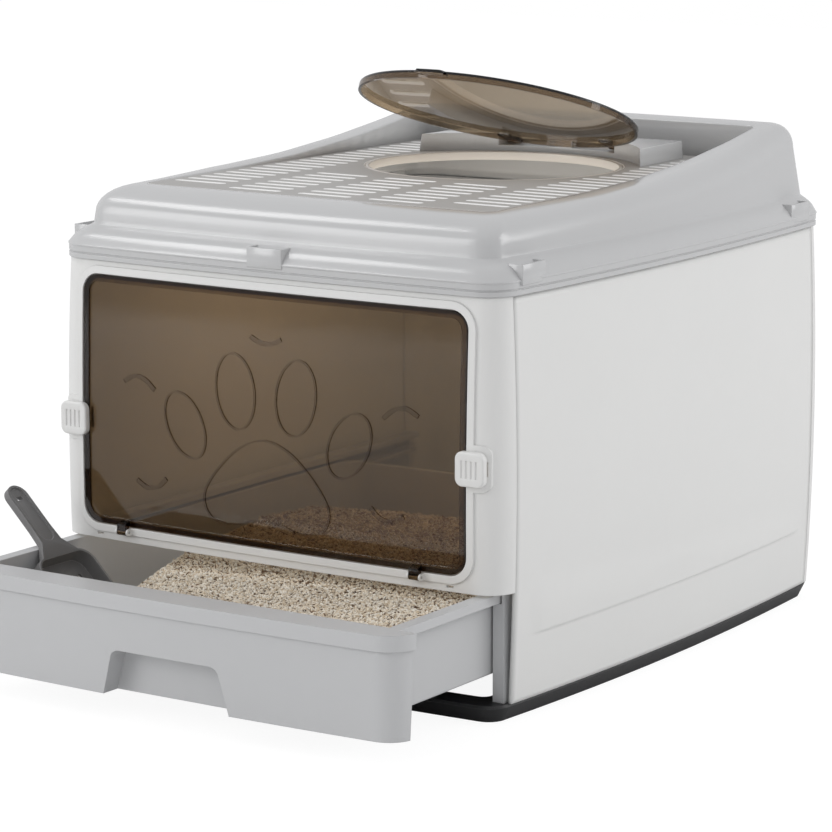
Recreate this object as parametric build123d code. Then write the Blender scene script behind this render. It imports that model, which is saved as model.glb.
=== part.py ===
"""Drawer litter box: a white barrel-sided cabinet on a dark base ring, a raised grey cover with a
round entry and a clear lid, a clear drop-down front door held by two slide latches, and a litter
drawer that hangs on two side channels, with a small slotted scoop standing in it.

Millimetres, +Z up, the front faces -Y. The drawer is drawn pulled out and the lid part open; the
door is shut and the latches are home. Pieces are drawn about the cabinet's own centre, then all
are moved by SHIFT_Y so that the whole object's box is centred on the origin.
"""
import os
from math import cos, radians, sin, sqrt

from build123d import *

os.makedirs("parts", exist_ok=True)

# ---------------------------------------------------------------- cabinet size
HALF_W = 200.0          # half width at the upright seams
HALF_D = 250.0          # half depth at the corners
SIDE_BOW = 10.5         # how far a side bulges at mid depth
FRONT_BOW = 5.5         # how far the front and back bulge at mid width
BARREL = 3.9            # how far every wall bulges at mid height
CORNER_R = 20.0         # upright corners, in plan
Z_BASE = 14.0           # top of the base ring
Z_TOP = 317.0           # top of the panels
WALL = 3.0              # panel thickness
SEAM_Y = HALF_D - CORNER_R + 1.6    # where side panels meet the front and back pieces
SEAM_GAP = 0.3          # half the gap at a seam
REACH = max(HALF_W, HALF_D) + 60.0  # past every wall, for blocks that only cut
NEAR_Y = HALF_D - 50.0  # well behind the front wall, for the same
SKY = Z_TOP + 120.0     # over everything, for the same

# ---------------------------------------------------------------- base ring and pads
PAD_PROUD = 0.8         # how far the pads stand below the ring
RING_TOP_IN = 1.0       # ring set in from the panels at its top
RING_FOOT_IN = 6.0      # and at its foot
RING_W = 23.0           # ring width at the top
RING_BEVEL = 2.0        # height of the bevel along its top edge
RING_BEVEL_IN = 0.8
RING_SKIN = 3.0         # wall of the ring, which is hollow from below
PAD_L, PAD_W = 40.0, 8.0
PAD_Y = HALF_D - 60.0
PAD_X = HALF_W + SIDE_BOW * (1 - (PAD_Y / HALF_D) ** 2) - 15.0

# ---------------------------------------------------------------- drawer heights and runners
PULL = 130.0            # how far the drawer stands out
FASCIA_Z0 = Z_BASE + 4.0
RIM_Z = 96.5            # top of the drawer
TRAY_Z0 = Z_BASE + 20.0
TRAY_WALL = 2.5
TRAY_R = 18.0
TRAY_HALF = HALF_W - 18.0           # inside half width
TRAY_REAR = HALF_D - 8.0            # inside of the tray's back wall when shut
FASCIA_REAR = SEAM_Y + 2.9          # back plane of the fascia when shut
BRIM_BACK = 5.0         # brim behind the tray's back wall, from its inside
FLANGE_T, FLANGE_LIP, FLANGE_LIP_T = 2.5, 7.0, 2.0
CHANNEL_WEB = 2.2
CHANNEL_X1 = HALF_W - WALL - 0.8    # channel against the panel
CHANNEL_X0 = TRAY_HALF + TRAY_WALL + 2.0
FLANGE_HALF = CHANNEL_X1 - CHANNEL_WEB - 1.4    # the flange that hangs on the channels
SHELF_T = 3.5
RUN_CLEAR = 0.5         # flange lip to shelf
GUARD_Z0 = RIM_Z + 2.2  # strip over the flange that stops the drawer tipping
GUARD_H = 5.3
GUARD_X0 = TRAY_HALF + 2.0
GUARD_NOTCH = 1.4       # step at the guard's front end

# ---------------------------------------------------------------- drawer front
LIP_H, LIP_PROUD = 12.0, 2.2
FASCIA_SKIN = 3.0
GRIP_HALF_LOW, GRIP_HALF_TOP, GRIP_Z = 57.6, 47.9, 53.0
GRIP_DEEP, GRIP_SKIN, GRIP_R = 17.0, 2.2, 8.0

# ---------------------------------------------------------------- window, door and hinge
Z_FRONT = RIM_Z + 2.0   # bottom edge of the front frame, over the drawer
DOOR_HALF = HALF_W - CORNER_R - 3.2
DOOR_Z0, DOOR_Z1 = Z_FRONT + 13.0, Z_TOP - 11.0
DOOR_R = 14.0
DOOR_T = 2.2            # sheet
DOOR_SET = 0.4          # sheet set back from the frame's face
DOOR_RIM_W = 5.0        # thick edge round the door
DOOR_RIM_PROUD = 1.0
DOOR_CLEAR = 1.0        # gap all round
BEAD_W, BEAD_PROUD = 6.0, 1.5
STOP_IN, STOP_OUT, STOP_T = 3.0, 3.0, 2.5
DOOR_AXIS_OUT = 4.9     # hinge axis in front of the frame's face
DOOR_AXIS_Z = DOOR_Z0 - 4.0
DOOR_PIN_R = 1.2
DOOR_PIN_CLEAR = 0.3
DOOR_BARREL_R = 2.6
DOOR_TAB_IN = 40.8      # hinge tab in from the door's edge
DOOR_TAB_X = DOOR_HALF - DOOR_TAB_IN
DOOR_TAB_HALF = 4.0
DOOR_LUG_T = 1.6
DOOR_LUG_GAP = 0.5      # tab to lug
DRAIN_IN, DRAIN_HALF, DRAIN_UP, DRAIN_H = 13.8, 3.0, 2.9, 1.6
PAW_PROUD = 0.9         # embossed outline on the door
PAW_LINE, STROKE_LINE = 1.5, 3.4
PAW_Z = (DOOR_Z0 + DOOR_Z1) / 2

# ---------------------------------------------------------------- side latches
LATCH_X = DOOR_HALF + 6.5           # knob centre
LATCH_Z = DOOR_Z0 + 81.0
LATCH_HALF_W, LATCH_HALF_H = 12.5, 13.0
LATCH_T = 5.2
LATCH_R, LATCH_EDGE = 6.0, 1.6
LATCH_TRAVEL = 7.5
LATCH_GAP = 0.6         # knob to raised pad
LATCH_PAD_PROUD, LATCH_PAD_HALF_H, LATCH_PAD_R = 1.6, 17.5, 7.0
LATCH_PAD_X1 = HALF_W - 3.5         # where the raised pad ends, on the corner
LATCH_PAD_Y = -(HALF_D - 7.0)
LATCH_NECK_HALF = (3.0, 5.0)
LATCH_NECK_CLEAR = 0.4
LATCH_PLATE_IN, LATCH_PLATE_HALF_H, LATCH_PLATE_T = 10.8, 8.0, 2.0
LATCH_PLATE_CLEAR = 0.2
LATCH_GROOVES, GROOVE_PITCH, GROOVE_W, GROOVE_D = 4, 4.2, 1.3, 0.9

# ---------------------------------------------------------------- cover
FLANGE_OUT = 3.0        # cover flange over the panels
FLANGE_H = 6.0          # foot of the clips that hook on it
COVER_T = 3.0
COVER_GAP = 0.2
DECK_UP = 54.2          # deck over the top of the panels
DECK_Z = Z_TOP + DECK_UP
DECK_HALF = HALF_W - 38.0
DECK_Y0, DECK_Y1, DECK_R = -(HALF_D - 51.0), HALF_D - 39.0, 10.0
SHOULDER_R = 8.0        # rolled edge along the top of the side walls
SKIRT_DROP, SKIRT_UP, SKIRT_T, SKIRT_IN = 4.3, 8.0, 2.4, 0.7
SLOT_L, SLOT_W, SLOT_PITCH_X, SLOT_PITCH_Y = 48.5, 4.0, 65.4, 16.7
SLOT_MARGIN = 6.9       # least deck beside a slot's end
SLOT_Y0 = DECK_Y0 + 18.5
ENTRY_RX, ENTRY_RY = 106.5, 101.5
ENTRY_Y = HALF_D - 191.0
ENTRY_EDGE = 9.0        # deck kept plain round the entry
COLLAR_T, COLLAR_DEEP, COLLAR_FIT = 3.0, 7.0, 0.2
COLLAR_FLANGE, COLLAR_FLANGE_T = 4.0, 1.7

# ---------------------------------------------------------------- lid and its hinge
LID_RX, LID_RY = ENTRY_RX + 12.5, ENTRY_RY + 4.5
LID_T, LID_SKIRT, LID_RIM_T, LID_EDGE = 2.2, 6.5, 2.4, 2.0
LID_LOW_Z = DECK_Z + 3.0            # underside of the lid's rim when shut
LID_AXIS_Y, LID_AXIS_Z = ENTRY_Y + LID_RY + 6.5, DECK_Z + 9.3
LID_OPEN = 20.0         # degrees open at rest
LID_PIN_R, LID_PIN_CLEAR, LID_BARREL_R = 1.6, 0.35, 4.2
LID_PIN_SEAT = 8.0      # pin in the block past each knuckle
LID_KNUCKLE_X, LID_KNUCKLE_HALF, LID_KNUCKLE_GAP = 50.0, 6.0, 0.8
LID_TAB_HALF, LID_TAB_OUT, LID_TAB_T = 13.0, 5.0, 2.6
BLOCK_HALF = LID_RX - 11.0
BLOCK_FRONT, BLOCK_REAR = ENTRY_Y + 37.0, LID_AXIS_Y + 16.5
BLOCK_H, BLOCK_CLEAR, BLOCK_DRAFT = 14.5, 3.0, 4.0
POST_HALF, POST_R = 8.0, 3.2

# ---------------------------------------------------------------- clips on the cover flange
CLIP_L, CLIP_H, CLIP_T, CLIP_DEEP = 32.0, 13.5, 2.4, 8.4
CLIP_STEP = 9.0         # depth of the hollow behind the clip's face
CLIP_FRONT_Y, CLIP_REAR_Y = -(HALF_D - 39.0), HALF_D - 49.0

# ---------------------------------------------------------------- scoop
SCOOP_LEAN = 45.0       # degrees
HANDLE_L, HANDLE_HALF, HANDLE_T = 60.0, 10.5, 5.5
HANDLE_DISH, HANDLE_BORDER = 1.2, 3.0
PAN_X0, PAN_L, PAN_HALF, PAN_DEEP, PAN_T = 8.5, 60.5, 32.0, 15.0, 2.0
PAN_R = 13.0            # its back corners
PAN_SLOTS, PAN_SLOT_PITCH, PAN_SLOT_W = 5, 9.6, 4.2
SCOOP_CLEAR = 0.5       # handle to the drawer's rim
SCOOP_X = -TRAY_HALF + 6.0          # where handle and pan meet
SCOOP_BACK = 66.0       # the same, behind the inside of the fascia

SHIFT_Y = (PULL + 1.2) / 2          # cabinet centre from the whole object's centre

made = {}


def keep(name, shape):
    """Move a finished piece to its place, store it and name it."""
    shape = shape.moved(Location((0, SHIFT_Y, 0)))
    solids = shape.solids()
    shape = solids[0] if len(solids) == 1 else Compound(children=solids)
    shape.label = name
    made[name] = shape
    export_step(shape, f"parts/{name}.step")
    b = shape.bounding_box()
    print(f"{name:24s} {len(solids)} solid  {shape.volume / 1000:9.2f} cm3  "
          f"x {b.min.X:7.1f} {b.max.X:7.1f}  y {b.min.Y:7.1f} {b.max.Y:7.1f}  "
          f"z {b.min.Z:6.1f} {b.max.Z:6.1f}  {'ok' if shape.is_valid else 'INVALID'}")


def box(x0, x1, y0, y1, z0, z1):
    """A block from its limits."""
    return Pos((x0 + x1) / 2, (y0 + y1) / 2, (z0 + z1) / 2) * Box(x1 - x0, y1 - y0, z1 - z0)


def bulge(z):
    """How far the walls stand out at height z."""
    t = 2 * (z - Z_BASE) / (Z_TOP - Z_BASE) - 1
    return BARREL * max(0.0, 1 - t * t)


def outline(z, off=0.0, r=None):
    """The cabinet's plan outline at height z, grown by off."""
    a, b = HALF_W + off, HALF_D + off
    sides = [
        ThreePointArc((-a, -b), (0, -b - FRONT_BOW), (a, -b)),
        ThreePointArc((a, -b), (a + SIDE_BOW, 0), (a, b)),
        ThreePointArc((a, b), (0, b + FRONT_BOW), (-a, b)),
        ThreePointArc((-a, b), (-a - SIDE_BOW, 0), (-a, -b)),
    ]
    face = Face(Wire(sides))
    face = face.fillet_2d(CORNER_R + off if r is None else r, face.vertices())
    return Pos(0, 0, z) * face


def barrel(z0, z1, off=0.0, steps=5):
    """The barrel-shaped body between two heights, grown by off."""
    zs = [z0 + (z1 - z0) * i / (steps - 1) for i in range(steps)]
    return Solid.make_loft([outline(z, off + bulge(z)).outer_wire() for z in zs])


def rounded(half, z0, z1, r, y0, y1):
    """A rounded-rectangle prism along Y."""
    face = Plane.XZ * RectangleRounded(2 * half, z1 - z0, r)
    return Pos(0, y1, (z0 + z1) / 2) * extrude(face, y1 - y0)


def door_prism(grow):
    """The door's outline, grown, as a prism along Y through the front wall."""
    return rounded(DOOR_HALF + grow, DOOR_Z0 - grow, DOOR_Z1 + grow, DOOR_R + grow, -REACH, -NEAR_Y)


def ring_prism(outer, inner):
    """A frame-shaped prism along Y between two growths of the door's outline."""
    return door_prism(outer) - door_prism(inner)


def tube(r, x0, x1, y, z):
    """A round bar along X."""
    bar = Cylinder(r, x1 - x0, align=(Align.CENTER, Align.CENTER, Align.MIN))
    return Pos(x0, y, z) * (Rot(0, 90, 0) * bar)


def front_y(x, z, off=0.0):
    """Y of the front face at (x, z)."""
    return -(HALF_D + FRONT_BOW * (1 - (x / HALF_W) ** 2) + bulge(z) + off)


# ================================================================ cabinet panels
body = barrel(Z_BASE, Z_TOP)
hollow = barrel(Z_BASE, Z_TOP, -WALL)
shell = body - hollow
seam = SEAM_Y - SEAM_GAP
DOOR_AXIS_Y = front_y(DOOR_TAB_X, DOOR_AXIS_Z, DOOR_AXIS_OUT)

for side, name in ((-1, "left_side_panel"), (1, "right_side_panel")):
    x0, x1 = sorted((side * HALF_W * 0.75, side * REACH))
    keep(name, shell & box(x0, x1, -seam, seam, 0, SKY))
keep("rear_panel", shell & box(-REACH, REACH, SEAM_Y + SEAM_GAP, REACH, 0, SKY))

frame = shell & box(-REACH, REACH, -REACH, -SEAM_Y - SEAM_GAP, Z_FRONT, SKY)
frame -= door_prism(DOOR_CLEAR)
frame += (barrel(Z_BASE, Z_TOP, BEAD_PROUD) - body) & ring_prism(DOOR_CLEAR + BEAD_W, DOOR_CLEAR)
stop = (hollow - barrel(Z_BASE, Z_TOP, -WALL - STOP_T)) & ring_prism(DOOR_CLEAR + STOP_OUT, -STOP_IN)
frame += stop & box(-REACH, REACH, -REACH, -NEAR_Y, Z_FRONT + 1, SKY)

knob_face = front_y(LATCH_X, LATCH_Z, LATCH_PAD_PROUD)
window_x = DOOR_HALF + DOOR_CLEAR
neck_x, neck_z = LATCH_NECK_HALF
lug_reach = DOOR_TAB_HALF + DOOR_LUG_GAP + DOOR_LUG_T       # outer face of a lug from its tab's centre
lug_root = front_y(DOOR_TAB_X, DOOR_AXIS_Z) + 0.6 * WALL
for side in (-1, 1):
    # raised pad under the knob, then the slot its neck runs in
    half = (LATCH_PAD_X1 - window_x) / 2 + 6.0
    pad = rounded(half, LATCH_Z - LATCH_PAD_HALF_H, LATCH_Z + LATCH_PAD_HALF_H, LATCH_PAD_R,
                  -REACH, LATCH_PAD_Y)
    pad = pad.moved(Location((side * (LATCH_PAD_X1 - half), 0, 0)))
    gone = box(-window_x, window_x, -REACH, -NEAR_Y, 0, SKY)
    frame += ((barrel(Z_BASE, Z_TOP, LATCH_PAD_PROUD) - body) & pad) - gone
    run = sorted((side * (LATCH_X - neck_x - LATCH_NECK_CLEAR),
                  side * (LATCH_X + neck_x + LATCH_TRAVEL + LATCH_NECK_CLEAR)))
    frame -= box(*run, -REACH, LATCH_PAD_Y, LATCH_Z - neck_z - LATCH_NECK_CLEAR,
                 LATCH_Z + neck_z + LATCH_NECK_CLEAR)
    # a small drain slot low in the corner of the frame
    drain_x = side * (DOOR_HALF - DRAIN_IN)
    frame -= box(drain_x - DRAIN_HALF, drain_x + DRAIN_HALF, -HALF_D - 12, -HALF_D + 2,
                 Z_FRONT + DRAIN_UP, Z_FRONT + DRAIN_UP + DRAIN_H)
    # lugs for the door's hinge pins
    for k in (-1, 1):
        lug_x = side * DOOR_TAB_X + k * (lug_reach - DOOR_LUG_T / 2)
        x0, x1 = lug_x - DOOR_LUG_T / 2, lug_x + DOOR_LUG_T / 2
        lug = tube(DOOR_BARREL_R, x0, x1, DOOR_AXIS_Y, DOOR_AXIS_Z)
        lug += box(x0, x1, DOOR_AXIS_Y, lug_root, DOOR_AXIS_Z - DOOR_BARREL_R, DOOR_AXIS_Z + DOOR_BARREL_R)
        frame += lug - hollow
pins = [tube(DOOR_PIN_R, x - lug_reach, x + lug_reach, DOOR_AXIS_Y, DOOR_AXIS_Z)
        for x in (-DOOR_TAB_X, DOOR_TAB_X)]
keep("front_frame", frame - pins[0] - pins[1])
keep("left_door_pin", pins[0])
keep("right_door_pin", pins[1])

# ================================================================ base ring and pads
ring_edge = Z_BASE - RING_BEVEL
ring = Solid.make_loft([outline(PAD_PROUD, -RING_FOOT_IN).outer_wire(),
                        outline(ring_edge, -RING_TOP_IN).outer_wire()])
ring += Solid.make_loft([outline(ring_edge, -RING_TOP_IN).outer_wire(),
                         outline(Z_BASE, -RING_TOP_IN - RING_BEVEL_IN).outer_wire()])
inner_off = -RING_TOP_IN - RING_W
inner_r = CORNER_R - 12.0
ring -= extrude(outline(-5, inner_off, inner_r), Z_BASE + 10)
groove = extrude(outline(-5, -RING_FOOT_IN - RING_SKIN), 5 + Z_BASE - RING_SKIN)
groove -= extrude(outline(-6, inner_off + RING_SKIN, inner_r + 1.0), Z_BASE + 10)
keep("base_frame", ring - groove)

for sx, nx in ((-1, "left"), (1, "right")):
    for sy, ny in ((-1, "front"), (1, "rear")):
        x, y = sx * PAD_X, sy * PAD_Y
        keep(f"foot_pad_{ny}_{nx}", box(x - PAD_W / 2, x + PAD_W / 2, y - PAD_L / 2, y + PAD_L / 2,
                                        0, Z_BASE - RING_SKIN))

# ================================================================ drawer channels
shelf_top = RIM_Z - FLANGE_LIP - RUN_CLEAR
run_front, run_rear = -FASCIA_REAR + 1.0, SEAM_Y - 5.6
guard_front = -SEAM_Y + 7.6
guard_top = GUARD_Z0 + GUARD_H


def sided(side, x0, x1, y0, y1, z0, z1):
    """A block given for the right side, mirrored for the left."""
    return box(*sorted((side * x0, side * x1)), y0, y1, z0, z1)


for side, name in ((-1, "left_drawer_channel"), (1, "right_drawer_channel")):
    run = sided(side, CHANNEL_X1 - CHANNEL_WEB, CHANNEL_X1, run_front, run_rear, Z_BASE, guard_top)
    run += sided(side, CHANNEL_X0, CHANNEL_X1, run_front, run_rear, shelf_top - SHELF_T, shelf_top)
    run += sided(side, CHANNEL_X0, CHANNEL_X1, run_front, guard_front - 1, Z_BASE, shelf_top)
    run += sided(side, GUARD_X0, CHANNEL_X1, guard_front, run_rear, GUARD_Z0, guard_top)
    run -= sided(side, GUARD_X0 - 1, CHANNEL_X1 + 1, run_front - 7, guard_front, GUARD_Z0 - GUARD_NOTCH,
                 guard_top + 1)
    keep(name, run)

# ================================================================ front door
sheet = barrel(Z_BASE, Z_TOP, -DOOR_SET) - barrel(Z_BASE, Z_TOP, -DOOR_SET - DOOR_T)
door = sheet & door_prism(0.0)
door += (barrel(Z_BASE, Z_TOP, DOOR_RIM_PROUD) - barrel(Z_BASE, Z_TOP, -DOOR_SET - 0.5)) \
    & ring_prism(0.0, -DOOR_RIM_W)
for side in (-1, 1):
    xc = side * DOOR_TAB_X
    x0, x1 = xc - DOOR_TAB_HALF, xc + DOOR_TAB_HALF
    tab = tube(DOOR_BARREL_R, x0, x1, DOOR_AXIS_Y, DOOR_AXIS_Z)
    web_y = front_y(DOOR_TAB_X, DOOR_Z0)
    knuckle_y = DOOR_AXIS_Y - DOOR_BARREL_R
    prof = Polyline((knuckle_y, DOOR_AXIS_Z), (knuckle_y + 0.4, DOOR_Z0 + 2.5), (web_y - 0.4, DOOR_Z0 + 4.5),
                    (web_y + 0.2, DOOR_Z0 + 0.5), (web_y - 2.4, DOOR_Z0 + 0.3),
                    (DOOR_AXIS_Y + DOOR_BARREL_R * 0.8, DOOR_AXIS_Z + 1.5), (DOOR_AXIS_Y, DOOR_AXIS_Z), close=True)
    web = extrude(Plane.YZ * make_face(prof), DOOR_TAB_HALF, both=True)
    door += tab + web.moved(Location((xc, 0, 0)))
    door -= tube(DOOR_PIN_R + DOOR_PIN_CLEAR, x0 - 1, x1 + 1, DOOR_AXIS_Y, DOOR_AXIS_Z)


def smooth(points, closed=True, steps=5):
    """Points of a soft curve through the given ones, with the unit normal at each."""
    n = len(points)
    out = []
    for i in range(n if closed else n - 1):
        p = [points[(i + k) % n] if closed else points[min(max(i + k, 0), n - 1)] for k in (-1, 0, 1, 2)]
        for j in range(steps):
            t = j / steps
            w = (-t + 2 * t ** 2 - t ** 3, 2 - 5 * t ** 2 + 3 * t ** 3,
                 t + 4 * t ** 2 - 3 * t ** 3, t ** 3 - t ** 2)
            out.append(tuple(sum(a * q[c] for a, q in zip(w, p)) / 2 for c in (0, 1)))
    if not closed:
        out.append(points[-1])
    m = len(out)
    lines = []
    for i, (x, z) in enumerate(out):
        a, b = (out[i - 1], out[(i + 1) % m]) if closed else (out[max(i - 1, 0)], out[min(i + 1, m - 1)])
        dx, dz = b[0] - a[0], b[1] - a[1]
        d = sqrt(dx * dx + dz * dz)
        lines.append((x, z, dz / d, -dx / d))
    return lines


def ridge(points, closed=True, width=PAW_LINE):
    """A raised line on the door's face through plan points (x, z)."""
    line = smooth(points, closed)
    one = [(x + u * width / 2, z + v * width / 2) for x, z, u, v in line]
    two = [(x - u * width / 2, z - v * width / 2) for x, z, u, v in line]

    def prism(pts):
        face = Plane.XZ * make_face(Polyline(*pts, close=True))
        return extrude(face, REACH - NEAR_Y).moved(Location((0, -NEAR_Y, PAW_Z)))
    band = prism(one + two[::-1]) if not closed else prism(one) - prism(two)
    if closed and abs(band.volume) < 1:
        band = prism(two) - prism(one)
    return (barrel(Z_BASE, Z_TOP, PAW_PROUD - DOOR_SET) - barrel(Z_BASE, Z_TOP, -DOOR_SET - 0.4)) & band


def oval(cx, cz, rx, rz, tilt):
    """Points of a tilted oval."""
    t = radians(tilt)
    out = []
    for i in range(10):
        a = radians(36 * i)
        u, v = rx * cos(a), rz * sin(a)
        out.append((cx + u * cos(t) - v * sin(t), cz + u * sin(t) + v * cos(t)))
    return out


# a plain paw outline with five short strokes, as points (x, z) from the middle of the door
PAD = [(0, -15), (24, -23), (46, -43), (58, -63), (52, -79), (32, -83), (12, -78), (-12, -78), (-32, -83),
       (-52, -79), (-58, -63), (-46, -43), (-24, -23)]
TOES = ((-76, -11, 17, 27, 28), (-28, 20, 18, 29, 8), (28, 20, 18, 29, -8), (76, -11, 17, 27, -28))
STROKES = ([(-136, 17), (-126, 22), (-115, 20), (-106, 13)], [(106, 13), (115, 20), (126, 22), (136, 17)],
           [(-124, -59), (-114, -64), (-103, -62), (-95, -55)], [(95, -55), (103, -62), (114, -64), (124, -59)],
           [(-14, 63), (-5, 59), (5, 59), (14, 63)])
door += ridge(PAD)
for toe in TOES:
    door += ridge(oval(*toe))
for stroke in STROKES:
    door += ridge(stroke, closed=False, width=STROKE_LINE)
keep("front_door", door)

# ================================================================ latches
knob_back = knob_face - LATCH_GAP
plate_y = front_y(LATCH_X, LATCH_Z, -WALL - STOP_T) + LATCH_PLATE_CLEAR
for side, name in ((-1, "left_latch"), (1, "right_latch")):
    knob = rounded(LATCH_HALF_W, LATCH_Z - LATCH_HALF_H, LATCH_Z + LATCH_HALF_H, LATCH_R,
                   knob_back - LATCH_T, knob_back)
    knob = fillet(knob.faces().sort_by(Axis.Y)[0].edges(), LATCH_EDGE)
    for i in range(LATCH_GROOVES):
        gx = (i - (LATCH_GROOVES - 1) / 2) * GROOVE_PITCH
        knob -= box(gx - GROOVE_W / 2, gx + GROOVE_W / 2, knob_back - LATCH_T - 1,
                    knob_back - LATCH_T + GROOVE_D, LATCH_Z - LATCH_HALF_H / 2, LATCH_Z + LATCH_HALF_H / 2)
    knob = knob.moved(Location((side * LATCH_X, 0, 0)))
    nx = side * LATCH_X
    knob += box(nx - neck_x, nx + neck_x, knob_back - 1, plate_y + LATCH_PLATE_T,
                LATCH_Z - neck_z, LATCH_Z + neck_z)
    xs = sorted((side * (LATCH_X - LATCH_PLATE_IN), side * (LATCH_X - neck_x + 1.0)))
    knob += box(*xs, plate_y, plate_y + LATCH_PLATE_T, LATCH_Z - LATCH_PLATE_HALF_H,
                LATCH_Z + LATCH_PLATE_HALF_H)
    keep(name, knob)

# ================================================================ drawer
out = Location((0, -PULL, 0))
fascia = barrel(FASCIA_Z0, RIM_Z, steps=4)
fascia += barrel(RIM_Z - LIP_H, RIM_Z, LIP_PROUD, steps=3)
fascia -= barrel(FASCIA_Z0 - 1, RIM_Z - FLANGE_T, -FASCIA_SKIN, steps=4)
fascia &= box(-REACH, REACH, -REACH, -FASCIA_REAR, 0, SKY)
grip_face = -(HALF_D + FRONT_BOW)


def grip(grow, y0, y1):
    """The finger recess as a prism along Y."""
    low, top, z = GRIP_HALF_LOW + grow, GRIP_HALF_TOP + grow, GRIP_Z + grow
    slope = (low - top) / (z - FASCIA_Z0)
    zl = FASCIA_Z0 - 6
    pts = [(-low - 6 * slope, zl), (low + 6 * slope, zl), (top, z), (-top, z)]
    face = make_face(Polyline(*pts, close=True))
    face = fillet(face.vertices().sort_by(Axis.Y)[-2:], GRIP_R + grow)
    return extrude(Plane.XZ * face, y1 - y0).moved(Location((0, y1, 0)))


wall = grip(GRIP_SKIN, -REACH, grip_face + GRIP_DEEP + GRIP_SKIN) & barrel(FASCIA_Z0, RIM_Z, -0.5, steps=4)
fascia += wall & box(-REACH, REACH, -REACH, -NEAR_Y, FASCIA_Z0, SKY)
fascia -= grip(0.0, -REACH, grip_face + GRIP_DEEP)
keep("drawer_front", fascia.moved(out))

tray_y0 = -FASCIA_REAR + TRAY_WALL


def plan_box(half, y0, y1, z0, z1, r):
    """A tray-shaped block, its two back corners rounded."""
    face = make_face(Polyline((-half, y0), (half, y0), (half, y1), (-half, y1), close=True))
    face = fillet(face.vertices().sort_by(Axis.Y)[-2:], r)
    return Pos(0, 0, z0) * extrude(face, z1 - z0)


tray_front = tray_y0 - TRAY_WALL
tray = plan_box(TRAY_HALF + TRAY_WALL, tray_front, TRAY_REAR + TRAY_WALL, TRAY_Z0, RIM_Z, TRAY_R + TRAY_WALL)
brim = plan_box(FLANGE_HALF, tray_front, TRAY_REAR + BRIM_BACK, RIM_Z - FLANGE_LIP, RIM_Z, TRAY_R + 6)
brim -= plan_box(FLANGE_HALF - FLANGE_LIP_T, tray_front - 5, TRAY_REAR + BRIM_BACK - FLANGE_LIP_T, 0,
                 RIM_Z - FLANGE_T, TRAY_R + 6 - FLANGE_LIP_T)
tray += brim
tray -= plan_box(TRAY_HALF, tray_y0, TRAY_REAR, TRAY_Z0 + TRAY_WALL, SKY, TRAY_R)
low_edges = tray.edges().filter_by(GeomType.LINE).group_by(Axis.Z)[0]
tray = fillet(low_edges.filter_by(Axis.Y), 2.0)
keep("drawer_tray", tray.moved(out))

# the litter's surface at stations from the fascia to the back wall: place, how far the slope's foot and brow
# lie from the left wall, and the depth below the rim at the brow, middle and right. The stations round the
# scoop are in millimetres from the fascia, as the scoop is, and the others from the back wall.
LITTER_CLEAR = 0.5      # to the tray's walls
LITTER_Y0 = tray_y0 + LITTER_CLEAR
LITTER_Y1 = TRAY_REAR - LITTER_CLEAR
LITTER = [
    (LITTER_Y0, 82, 120, 16.5, 9.5, 8.5),
    (LITTER_Y0 + 71.0, 56, 94, 14.5, 7.5, 6.5),
    (LITTER_Y0 + 161.0, 22, 64, 13.5, 6.5, 5.5),
    (LITTER_Y1 - 170.0, 2, 36, 14.5, 8.5, 9.5),
    (LITTER_Y1 - 71.0, 1, 14, 26.5, 16.5, 16.5),
    (LITTER_Y1, 1, 8, 52.5, 49.5, 49.5),
]


def litter_section(y, foot, brow, down_brow, down_mid, down_right):
    """One closed outline across the tray."""
    floor = TRAY_Z0 + TRAY_WALL + 0.3
    half = TRAY_HALF - LITTER_CLEAR - (TRAY_R - 5.0 if y == LITTER_Y1 else 0.0)
    foot, brow = max(foot - TRAY_HALF, -half), max(brow - TRAY_HALF, -half + 6)
    z_brow, z_mid, z_right = RIM_Z - down_brow, RIM_Z - down_mid, RIM_Z - down_right
    mid = half / 3
    pts = [(foot, floor), (brow, z_brow), ((brow + mid) / 2, (z_brow + z_mid) / 2 + 1.0), (mid, z_mid),
           (half - 30, z_mid + 1), (half, z_right), (half, floor)]
    return Wire.make_polygon([Vector(x, y - PULL, z) for x, z in pts], close=True)


keep("litter_bed", Solid.make_loft([litter_section(*row) for row in LITTER], ruled=True))

# ================================================================ scoop
# built flat: +X from handle to nose, top face at z = 0, then leaned on the drawer's left rim
nose = PAN_X0 + PAN_L
pan = box(PAN_X0, nose, -PAN_HALF, PAN_HALF, -PAN_DEEP, 0)
pan = fillet(pan.edges().filter_by(Axis.Z).sort_by(Axis.X)[:2], PAN_R)
cut = box(PAN_X0 + PAN_T, nose + 10, -PAN_HALF + PAN_T, PAN_HALF - PAN_T, -PAN_DEEP + PAN_T, 2)
scoop = pan - fillet(cut.edges().filter_by(Axis.Z).sort_by(Axis.X)[:2], PAN_R - PAN_T)
slope = make_face(Polyline((PAN_X0 + PAN_L * 0.62, 2), (nose + 3, 2), (nose + 3, -PAN_DEEP / 3 * 2),
                           close=True))
scoop -= extrude(Plane.XZ * slope, 2 * PAN_HALF, both=True)
for i in range(PAN_SLOTS):
    k = i - (PAN_SLOTS - 1) / 2
    slot = Pos(PAN_X0 + PAN_L * 0.545, k * PAN_SLOT_PITCH, -PAN_DEEP + PAN_T / 2) \
        * Box(PAN_L * 0.68 - abs(k) * 3, PAN_SLOT_W, 4 * PAN_T)
    scoop -= fillet(slot.edges().filter_by(Axis.Z), PAN_SLOT_W / 2 - 0.1)
spread = PAN_HALF - 10.0
neck = make_face(Polyline((-18, HANDLE_HALF), (-4, HANDLE_HALF + 1.0), (PAN_X0 + 1.5, spread),
                          (PAN_X0 + 1.5, -spread), (-4, -HANDLE_HALF - 1.0), (-18, -HANDLE_HALF), close=True))
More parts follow.
